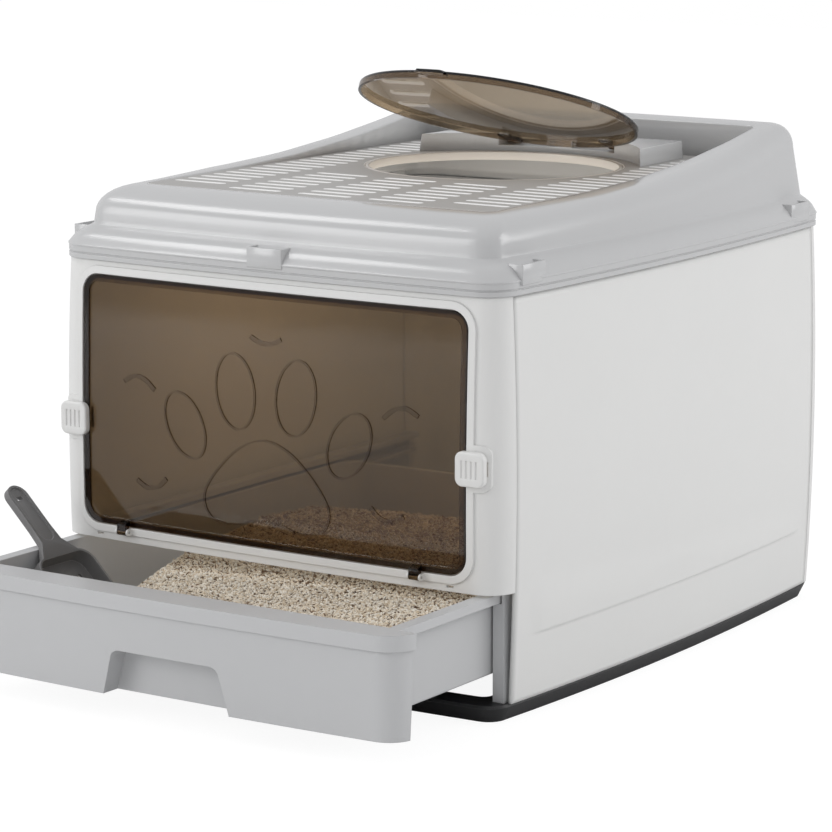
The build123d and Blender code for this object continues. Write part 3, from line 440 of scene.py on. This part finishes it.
along_side = [2 * p - 1 for p in middles(36)]
along_end = [2 * p - 1 for p in middles(28)]
round_corner = [math.radians(90 * p) for p in middles(14)]
COLUMNS = [("side", 1, 0, t) for t in along_side]
COLUMNS += [("corner", 1, 1, t) for t in round_corner]
COLUMNS += [("end", 0, 1, t) for t in reversed(along_end)]
COLUMNS += [("corner", -1, 1, t) for t in reversed(round_corner)]
COLUMNS += [("side", -1, 0, t) for t in reversed(along_side)]
COLUMNS += [("corner", -1, -1, t) for t in round_corner]
COLUMNS += [("end", 0, -1, t) for t in along_end]
COLUMNS += [("corner", 1, -1, t) for t in reversed(round_corner)]


def plan_ring(insets, corner, half=(HALF_W, HALF_D), bow=1.0):
    """Plan points of one level. insets: sides at the front, sides at the back, front, back."""
    at_front, at_back, front, back = insets

    def width(y):
        return half[0] - at_front + (at_front - at_back) * (y + half[1]) / (2 * half[1])
    points = []
    for kind, sx, sy, t in COLUMNS:
        low, high = front + corner - half[1], half[1] - back - corner
        if kind == "side":
            y = low + (t + 1) / 2 * (high - low)
            x, across, on = sx * width(y), 1.0, 0.0
        elif kind == "end":
            y = high + corner if sy > 0 else low - corner
            x, across, on = t * (width(y) - corner), 0.0, 1.0
        else:
            across, on = math.cos(t), math.sin(t)
            y = (high if sy > 0 else low) + sy * corner * on
            x = sx * (width(y) - corner + corner * across)
        points.append((x + sx * across * bow * SIDE_BOW * max(0.0, 1 - (y / HALF_D) ** 2),
                       y + sy * on * bow * FRONT_BOW * max(0.0, 1 - (x / HALF_W) ** 2)))
    return np.array(points)


print(len(COLUMNS), "columns")

# %% Growing a skin from rings
def at_height(flat, z):
    """Plan points lifted to a height, one for all or one each."""
    return np.column_stack([flat, np.broadcast_to(z, len(flat))])


def grow_skin(levels, name):
    """Extrude a closed ring from level to level; levels are in millimetres about the cabinet's centre."""
    plan = bmesh.new()
    column = plan.verts.layers.int.new("column")
    bmesh.ops.create_circle(plan, segments=len(COLUMNS), radius=1.0)
    ring = plan.verts[:]
    for v in ring:
        v[column] = round(math.atan2(v.co.y, v.co.x) / (2 * math.pi) * len(COLUMNS)) % len(COLUMNS)
    edges = plan.edges[:]
    for level in levels:
        if level is not levels[0]:
            grown = bmesh.ops.extrude_edge_only(plan, edges=edges)["geom"]
            ring = [g for g in grown if isinstance(g, bmesh.types.BMVert)]
            edges = [g for g in grown if isinstance(g, bmesh.types.BMEdge) and g.is_boundary]
        for v in ring:
            x, y, z = level[v[column]]
            v.co = (x * MM, (y + BACK) * MM, z * MM)
    foot = min(plan.faces, key=lambda f: (f.calc_center_median().z, abs(f.normal.z)))
    spot = foot.calc_center_median()
    if foot.normal.dot(Vector((spot.x, spot.y - BACK * MM, 0))) < 0:
        bmesh.ops.reverse_faces(plan, faces=plan.faces)
    return finished(plan, name)


# %% Heights of the cover
# The flange steps in by a hair at mid height, ends in a small bead, and a round shoulder runs in to the crease
# where the wall begins. Shares say how far in the shoulder has come at each height.
FLANGE = [(317.2, -2.5, 22.5), (317.7, -3.0, 23.0), (321.0, -3.0, 23.0), (321.4, -2.1, 22.1),
          (322.2, -2.1, 22.1), (322.6, -3.0, 23.0), (326.7, -3.0, 23.0), (327.3, -3.5, 23.5),
          (328.2, -3.5, 23.5), (328.8, -2.9, 22.9)]
SHOULDER = [(330.3, 0.065), (332.2, 0.15), (334.8, 0.27), (337.2, 0.45), (339.3, 0.655), (340.8, 0.82),
            (341.8, 0.93), (342.7, 0.985), (343.8, 1.0)]
CREST_INSET, CREST_CORNER = FLANGE[-1][1:]
CREASE_Z, CREASE_CORNER = SHOULDER[-1][0], 14.0
CREASE = (14.5, 10.0, 14.5, 9.0)
DRAFT, ROLL_HIGH, LEAST_WALL = 0.12, 20.0, 0.4
RIM_Y = (-260, -199, -180, -70, 10, 90, 160, 205, 232, 260)
RIM_Z = (371.25, 371.25, 371.8, 372.6, 375.2, 382.0, 391.2, 399.0, 402.6, 403.4)
DECK_HALF, DECK_MID, DECK_LONG, DECK_CORNER, DECK_Z = 162.0, 6.0, 205.0, 10.0, 371.2


def rim_height(y):
    """Top of the rim, which rises to the back, softened between its stations."""
    return sum(np.interp(y + step, RIM_Y, RIM_Z) for step in (-14, -7, 0, 7, 14)) / 5


def pocket_ring(inset):
    """The deck's outline, in from the rim's edge."""
    flat = plan_ring((inset,) * 4, DECK_CORNER - inset, half=(DECK_HALF, DECK_LONG), bow=0.0)
    return flat + (0.0, DECK_MID)


levels = [at_height(plan_ring((inset,) * 4, corner), z) for z, inset, corner in FLANGE]
for z, share in SHOULDER:
    insets = [CREST_INSET + (target - CREST_INSET) * share for target in CREASE]
    corner = CREST_CORNER + (CREASE_CORNER - CREST_CORNER) * share
    levels.append(at_height(plan_ring(insets, corner), z))

wall = plan_ring(CREASE, CREASE_CORNER)
leaned = plan_ring([c + 10 for c in CREASE], CREASE_CORNER + 3)
rim = rim_height(wall[:, 1])
roll = np.minimum(ROLL_HIGH, rim - CREASE_Z - LEAST_WALL)
shoulder = rim - roll
for i in range(1, 5):
    z = CREASE_Z + (shoulder - CREASE_Z) * i / 4
    flat = wall + (leaned - wall) * (DRAFT * (z - CREASE_Z) / 10)[:, None]
    levels.append(at_height(flat, z))
edge = pocket_ring(0.0)
reach = np.interp(flat[:, 1], (-250, -190, -90, 250), (36, 36, 21, 17))
share = np.minimum(1.0, reach / np.hypot(*(edge - flat).T))
for turn in np.radians((10, 20, 30, 42, 54, 66, 78, 90)):
    rolled = flat + (edge - flat) * ((1 - math.cos(turn)) * share)[:, None]
    levels.append(at_height(rolled, rim_height(rolled[:, 1]) - roll * (1 - math.sin(turn))))
top = rim_height(edge[:, 1])
for inset, drop in ((0.0, 0.0), (0.7, 0.25), (1.2, 0.9)):
    levels.append(at_height(pocket_ring(inset), top - drop))
levels.append(at_height(pocket_ring(2.4), DECK_Z - 0.6))
print(len(levels), "levels")

# %% Cover shell and skirt
SHELL_WALL, SKIRT_WALL = 2.4 * MM, 2.0 * MM
shell = walled(piece("cover_shell", grow_skin(levels, "cover_shell"), "cover", cover_grey), SHELL_WALL)
SKIRT_INSET, SKIRT_CORNER, SKIRT_Z0, SKIRT_Z1 = 3.9, 18.0, 312.7, 333.0
skirt_ring = plan_ring((SKIRT_INSET,) * 4, SKIRT_CORNER)
skirt_skin = grow_skin([at_height(skirt_ring, z) for z in (SKIRT_Z0, SKIRT_Z1)], "cover_skirt")
skirt = walled(piece("cover_skirt", skirt_skin, "cover", cover_grey), SKIRT_WALL)

# %% [markdown]
# ## The slotted deck
# The deck is a flat plate with rows of slots and the round entry. Cutting each slot with a boolean would be
# slow and leave rough corners. A flat curve does it at once: the first outline is filled, the others stay
# open, and the curve's bevel rounds every rim. The rims and slot walls also get a painted highlight of near
# white, which with the rounding is why the slots read as bright bars from the front.

# %% Slot plan
SLOT_LONG, SLOT_WIDE, STEP_X, STEP_Y = 48.5, 4.6, 65.4, 16.7
FIRST_ROW, LAST_GAP, SLOT_CLEAR, SHORTEST_SLOT, MOST_ROWS = 18.5, 8.0, 4.0, 12.0, 24
ENTRY_RX, ENTRY_RY, ENTRY_Y, PLAIN_EDGE = 106.5, 101.5, 59.0, 9.0
DECK_FRONT, DECK_REAR, BLOCK_FRONT, BLOCK_HALF = -199.0, 211.0, 96.0, 108.0
RIM_ROUND = 1.2


def slot_spans():
    """Each slot as (x from, x to, y)."""
    spans = []
    for col in (-2, -1, 0, 1, 2):
        x = col * STEP_X
        near_x = max(0.0, abs(x) - SLOT_LONG / 2) / (ENTRY_RX + PLAIN_EDGE)
        stop = ENTRY_Y - (ENTRY_RY + PLAIN_EDGE) * math.sqrt(max(0.0, 1 - near_x ** 2)) - SLOT_CLEAR
        for row in range(1 if abs(col) == 2 else 0, MOST_ROWS):
            y = DECK_FRONT + FIRST_ROW + row * STEP_Y
            if y > (DECK_REAR - LAST_GAP if abs(col) == 2 else stop):
                break
            near = -SLOT_LONG / 2
            if abs(col) == 2:
                t = min(1.0, abs(y - ENTRY_Y) / (ENTRY_RY + PLAIN_EDGE))
                clear = (ENTRY_RX + PLAIN_EDGE) * math.sqrt(1 - t * t)
                if y > BLOCK_FRONT:
                    clear = max(clear, BLOCK_HALF + 3)
                near = max(near, clear - abs(x))
            if SLOT_LONG / 2 - near >= SHORTEST_SLOT:
                turn = -1 if x < 0 else 1
                spans.append((*sorted((x + turn * near, x + turn * SLOT_LONG / 2)), y))
    return spans


slots = slot_spans()
print(len(slots), "slots")

# %% Deck plate
def outline_points(curve, points):
    """Add a closed outline of straight runs to a flat curve; points in millimetres."""
    line = curve.splines.new("POLY")
    line.points.add(len(points) - 1)
    line.points.foreach_set("co", np.array([(x * MM, (y + BACK) * MM, 0, 1) for x, y in points]).ravel())
    line.use_cyclic_u = True


def bar_outline(x0, x1, y, wide, steps=6):
    """A bar with round ends."""
    r = wide / 2
    turns = [math.pi * i / steps - math.pi / 2 for i in range(steps + 1)]
    right = [(x1 - r + r * math.cos(t), y + r * math.sin(t)) for t in turns]
    return right + [(x0 + r - r * math.cos(t), y - r * math.sin(t)) for t in turns]


def plate(name, outlines, z0, z1, round_by, body, mat):
    """A flat plate with holes and rounded rims, between two heights."""
    curve = bpy.data.curves.new(name, "CURVE")
    curve.dimensions, curve.fill_mode = "2D", "BOTH"
    curve.extrude, curve.bevel_depth, curve.bevel_resolution = ((z1 - z0) / 2 - round_by) * MM, round_by * MM, 2
    for points in outlines:
        outline_points(curve, points)
    drawn = bpy.data.objects.new(name, curve)
    mesh = bpy.data.meshes.new_from_object(drawn)
    bpy.data.objects.remove(drawn)
    mesh.transform(Matrix.Translation((0, 0, (z0 + z1) / 2 * MM)))
    mesh.name = name
    return piece(name, mesh, body, mat)


OVAL_STEPS, DECK_GAP, DECK_THICK = 96, 0.6, 3.0
turns = [math.tau * i / OVAL_STEPS for i in range(OVAL_STEPS)]
oval = [(math.cos(t), math.sin(t)) for t in turns]
outer = [tuple(p) for p in pocket_ring(DECK_GAP + RIM_ROUND)]
entry = [(x * (ENTRY_RX + RIM_ROUND), ENTRY_Y + y * (ENTRY_RY + RIM_ROUND)) for x, y in oval]
bars = [bar_outline(x0, x1, y, SLOT_WIDE + 2 * RIM_ROUND) for x0, x1, y in slots]


def greige_with_painted_highlight(tree, colour):
    """Deck colour: the given one on faces that face up; every other face, the plate's rims and slot walls, gets a
    painted highlight of near white.
    """
    facing = tree.nodes.new("ShaderNodeNewGeometry")
    split = tree.nodes.new("ShaderNodeSeparateXYZ")
    tree.links.new(facing.outputs["True Normal"], split.inputs[0])
    # Painted highlight: faces that don't face up are coloured near white, as if lit.
    flat = maths(tree, "GREATER_THAN", split.outputs["Z"], 0.97)
    return mixed(tree, flat, (0.93, 0.93, 0.92), colour)


# Its tint paints a highlight: near white on the deck's rims and slot walls.
deck_grey = plastic("deck_greige", (0.435, 0.425, 0.41), gloss=0.5, grain=0.00006, wear=0.0, tint=greige_with_painted_highlight)
deck = plate("cover_deck", [outer, entry] + bars, DECK_Z - DECK_THICK, DECK_Z, RIM_ROUND, "cover", deck_grey)
for part in (shell, skirt, deck):
    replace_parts(part, "top_cover")

# %% [markdown]
# ## Side panels with their long relief
# Each side wall carries one long soft swelling that ends below in a crisp step. It is worked into a fine sheet
# by height: the sheet starts as a flat grid whose rows stand closer where the step is.

# %% Side panels
PANEL_Z0, PANEL_Z1, PANEL_END, BARREL = 14.0, 317.0, 231.3, 3.9
PANEL_WALL, WIDEST, PANEL_COLUMNS = 3.0 * MM, 214.3, 96
ROWS = np.concatenate([np.linspace(14.0, 60.0, 16), np.linspace(60.8, 67.0, 9), np.linspace(69.5, 120.0, 22),
                       np.linspace(126.0, 317.0, 33)])
STEP_Z, STEP_HIGH, SWELL, FADE_HIGH = 61.5, 3.0, 1.9, 30.0
CREST_Z, CREST_Y, CREST_FALL = 108.0, -184.0, 0.044
SWELL_FROM, SWELL_TO, SWELL_END = -213.0, 214.0, 16.0


def ease(t):
    """0 to 1 with soft ends."""
    t = np.clip(t, 0.0, 1.0)
    return t * t * (3 - 2 * t)


def swelling(y, z):
    """How far the relief stands out."""
    top = CREST_Z - (y - CREST_Y) * CREST_FALL
    ends = ease((y - SWELL_FROM) / SWELL_END) * ease((SWELL_TO - y) / SWELL_END)
    return SWELL * ends * ease((z - STEP_Z) / STEP_HIGH) * ease((top - z) / FADE_HIGH)


for sign, name in ((-1, "left"), (1, "right")):
    plan = bmesh.new()
    bmesh.ops.create_grid(plan, x_segments=PANEL_COLUMNS, y_segments=len(ROWS) - 1, size=0.5)
    for v in plan.verts:
        y = (v.co.x * 2) * PANEL_END
        z = float(np.interp((v.co.y + 0.5) * (len(ROWS) - 1), range(len(ROWS)), ROWS))
        t = 2 * (z - PANEL_Z0) / (PANEL_Z1 - PANEL_Z0) - 1
        x = HALF_W + SIDE_BOW * (1 - (y / HALF_D) ** 2) + BARREL * (1 - t * t) + float(swelling(y, z))
        v.co = (sign * min(x, WIDEST) * MM, (y + BACK) * MM, z * MM)
    plan.normal_update()
    if plan.faces[:][0].normal.x * sign < 0:
        bmesh.ops.reverse_faces(plan, faces=plan.faces)
    panel = walled(piece(f"{name}_wall", finished(plan, f"{name}_wall"), "cabinet", white), PANEL_WALL)
    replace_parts(panel, f"{name}_side_panel")

# %% [markdown]
# ## Rounded mouldings
# No moulded edge is sharp. The shader's bevel softens how an edge takes light, but a highlight needs a real
# curve, so the pieces at the front get one.

# %% Rounded pieces
rounded("scoop", "scoop_body_piece", "scoop_body", mid_grey, 0.9 * MM, 3)
rounded("lid_hinge_block", "hinge_block", "cover", cover_grey, 1.0 * MM, 3)
rounded("entry_collar", "collar", "cover", warm_white, 0.7 * MM, 2)
rounded("left_latch", "left_knob", "latch_left", white, 0.35 * MM, 2)
rounded("right_latch", "right_knob", "latch_right", white, 0.35 * MM, 2)

# %% Clips on the flange
# Each clip is an upright pocket, open above, whose back sinks into the cover's shoulder. A box gets its hollow by
# an inset and an extrusion down, and its edges are rounded last.
CLIP_LONG, CLIP_DEEP, CLIP_TALL, CLIP_FOOT = 32.0, 15.0, 15.0, 324.5
CLIP_WALL, CLIP_HOLLOW, CLIP_EDGE, CLIP_PROUD = 2.0, 11.0, 0.4, 3.8
CLIP_FRONT_Y, CLIP_REAR_Y = -211.0, 201.0


def clip_piece(spot, x, y, turn):
    """Make one clip, its face at a place and turned about the upright, in degrees."""
    plan = bmesh.new()
    bmesh.ops.create_cube(plan, size=MM)
    bmesh.ops.scale(plan, vec=(CLIP_LONG, CLIP_DEEP, CLIP_TALL), verts=plan.verts)
    bmesh.ops.translate(plan, vec=(0, CLIP_DEEP / 2 * MM, CLIP_TALL / 2 * MM), verts=plan.verts)
    top = max(plan.faces, key=lambda f: f.calc_center_median().z)
    bmesh.ops.inset_region(plan, faces=[top], thickness=CLIP_WALL * MM, use_even_offset=True)
    floor_face = bmesh.ops.extrude_discrete_faces(plan, faces=[top])["faces"][0]
    bmesh.ops.translate(plan, vec=(0, 0, -CLIP_HOLLOW * MM), verts=floor_face.verts)
    bmesh.ops.bevel(plan, geom=plan.edges[:], offset=CLIP_EDGE * MM, offset_type="OFFSET", segments=2,
                    profile=0.5, affect="EDGES", clamp_overlap=True, material=-1)
    about = Matrix.Rotation(math.radians(turn), 3, "Z")
    bmesh.ops.rotate(plan, cent=(0, 0, 0), matrix=about, verts=plan.verts)
    bmesh.ops.translate(plan, vec=(x * MM, (y + BACK) * MM, CLIP_FOOT * MM), verts=plan.verts)
    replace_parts(piece(f"clip_{spot}_piece", finished(plan, f"clip_{spot}_piece"), "cover", cover_grey),
                f"clip_{spot}")


def beside(y):
    """Where a clip's face stands beside the cabinet."""
    return HALF_W + CLIP_PROUD + SIDE_BOW * (1 - (y / HALF_D) ** 2)


END_FACE = HALF_D + FRONT_BOW + CLIP_PROUD
clip_piece("front", 0, -END_FACE, 0)
clip_piece("rear", 0, END_FACE, 180)
for sign, side in ((1, "right"), (-1, "left")):
    clip_piece(f"{side}_front", sign * beside(CLIP_FRONT_Y), CLIP_FRONT_Y, sign * 90)
    clip_piece(f"{side}_rear", sign * beside(CLIP_REAR_Y), CLIP_REAR_Y, sign * 90)

# %% [markdown]
# ## Litter
# Pressed plant litter is short crumbled rods, two to three millimetres long. One grain could be instanced, but
# real ones all differ, so six grains are shaped from a ball, and thousands of copies are turned, scaled and
# dropped on the bed's surface. Each grain carries its own tone, and the material reads it.

# %% Grain shapes
GRAIN_KINDS, GRAIN_ROUGH = 6, (0.8, 1.2)
GRAIN_SIZE = Vector((1.7, 0.95, 0.855)) * MM
dice = random.Random(41)
kinds = []
for k in range(GRAIN_KINDS):
    plan = bmesh.new()
    bmesh.ops.create_icosphere(plan, subdivisions=1, radius=1.0)
    for v in plan.verts:
        v.co = v.co * GRAIN_SIZE * dice.uniform(*GRAIN_ROUGH)
    shape = np.array([v.co[:] for v in plan.verts])
    kinds.append((shape, np.array([[v.index for v in f.verts] for f in plan.faces])))
    plan.free()
print(len(kinds), "grains of", len(kinds[0][1]), "faces")

# %% Litter material
def litter_material(name, by_grain):
    """Plant litter: cream, tan and brown grains with a dry rough skin."""
    mat = bpy.data.materials.new(name)
    mat.use_nodes = True
    tree = mat.node_tree
    shader = tree.nodes["Principled BSDF"]
    place = tree.nodes.new("ShaderNodeTexCoord").outputs["Object"]
    if by_grain:
        painted = tree.nodes.new("ShaderNodeAttribute")
        painted.attribute_name = "tone"
        tone = painted.outputs["Fac"]
    else:
        tone = maths(tree, "MULTIPLY", noise_value(tree, place, 420.0, 2.0), 0.16)
    ramp = tree.nodes.new("ShaderNodeValToRGB")
    stops = ((0.0, (0.07, 0.04, 0.025)), (0.12, (0.26, 0.17, 0.10)), (0.35, (0.62, 0.50, 0.35)),
             (0.7, (0.86, 0.76, 0.61)), (1.0, (0.95, 0.91, 0.82)))
    ramp.color_ramp.elements[0].position = stops[0][0]
    ramp.color_ramp.elements[0].color = (*stops[0][1], 1)
    ramp.color_ramp.elements[1].position = stops[-1][0]
    ramp.color_ramp.elements[1].color = (*stops[-1][1], 1)
    for at, colour in stops[1:-1]:
        ramp.color_ramp.elements.new(at).color = (*colour, 1)
    plug(tree, ramp.inputs[0], tone)
    speck = noise_value(tree, place, 2600.0, 3.0, 0.7)
    plug(tree, shader.inputs["Base Color"],
         mixed(tree, maths(tree, "MULTIPLY", speck, 0.2), ramp.outputs[0], (0.36, 0.27, 0.18)))
    plug(tree, shader.inputs["Roughness"], maths(tree, "ADD", maths(tree, "MULTIPLY", speck, 0.2), 0.72))
    bump = node(tree, "ShaderNodeBump", Strength=1.0, Distance=0.00012, Height=speck)
    plug(tree, shader.inputs["Normal"], bump.outputs[0])
    return mat


grain_litter = litter_material("litter_grains", True)
bed_litter = litter_material("litter_bed_crumbs", False)
nodes["litter_bed"].data.materials[0] = bed_litter

# %% Scattering the grains
bed = bmesh.new()
bed.from_mesh(nodes["litter_bed"].data)
ground = BVHTree.FromBMesh(bed)
bed.free()
GRAIN_SPREAD, GRAIN_TIP, GRAIN_LIFT = (0.5, 1.0), 0.45, (-0.3, 1.2)
USUAL_TONE, DARK_TONE, DARK_SHARE = (0.8, 0.2), (0.0, 0.15), 0.06
DROP_FROM, STEEPEST = 0.2, 0.1
BED_X = (-180, 180)


def scatter(name, count, x_range, y_range, seed):
    """Drop grains on the bed in a rectangle, given in millimetres about the whole object's centre."""
    chance = random.Random(seed)
    points, faces, tones, base = [], [], [], 0
    while len(tones) < count:
        x, y = chance.uniform(*x_range) * MM, chance.uniform(*y_range) * MM
        hit, normal, _, _ = ground.ray_cast(Vector((x, y, DROP_FROM)), Vector((0, 0, -1)))
        if hit is None or normal.z < STEEPEST:
            count -= 1
            continue
        shape, skin_faces = kinds[chance.randrange(GRAIN_KINDS)]
        size = chance.uniform(*GRAIN_SPREAD)
        turn = Matrix.Rotation(chance.uniform(0, math.tau), 3, "Z") @ Matrix.Rotation(
            chance.gauss(0, GRAIN_TIP), 3, "Y") @ Matrix.Rotation(chance.uniform(0, math.tau), 3, "X")
        turn = normal.to_track_quat("Z", "Y").to_matrix() @ turn
        lift = hit + normal * chance.uniform(*GRAIN_LIFT) * MM
        points.append(shape @ (np.array(turn).T * size) + np.array(lift))
        faces.append(skin_faces + base)
        base += len(shape)
        tone = min(1.0, max(0.0, chance.gauss(*USUAL_TONE)))
        tones.append(chance.uniform(*DARK_TONE) if chance.random() < DARK_SHARE else tone)
    mesh = bpy.data.meshes.new(name)
    mesh.from_pydata(np.concatenate(points).tolist(), [], np.concatenate(faces).tolist())
    tone = mesh.attributes.new("tone", "FLOAT", "POINT")
    tone.data.foreach_set("value", np.repeat(np.array(tones, np.float32), len(kinds[0][0])))
    return piece(name, mesh, "drawer", grain_litter)


scatter("litter_front", 9300, BED_X, (-296, -246), 7)
scatter("litter_front_middle", 9300, BED_X, (-247, -196), 10)
scatter("litter_middle", 9300, BED_X, (-197, -110), 8)
scatter("litter_rear_middle", 7000, BED_X, (-111, -20), 11)
scatter("litter_rear", 7000, BED_X, (-21, 176), 9)
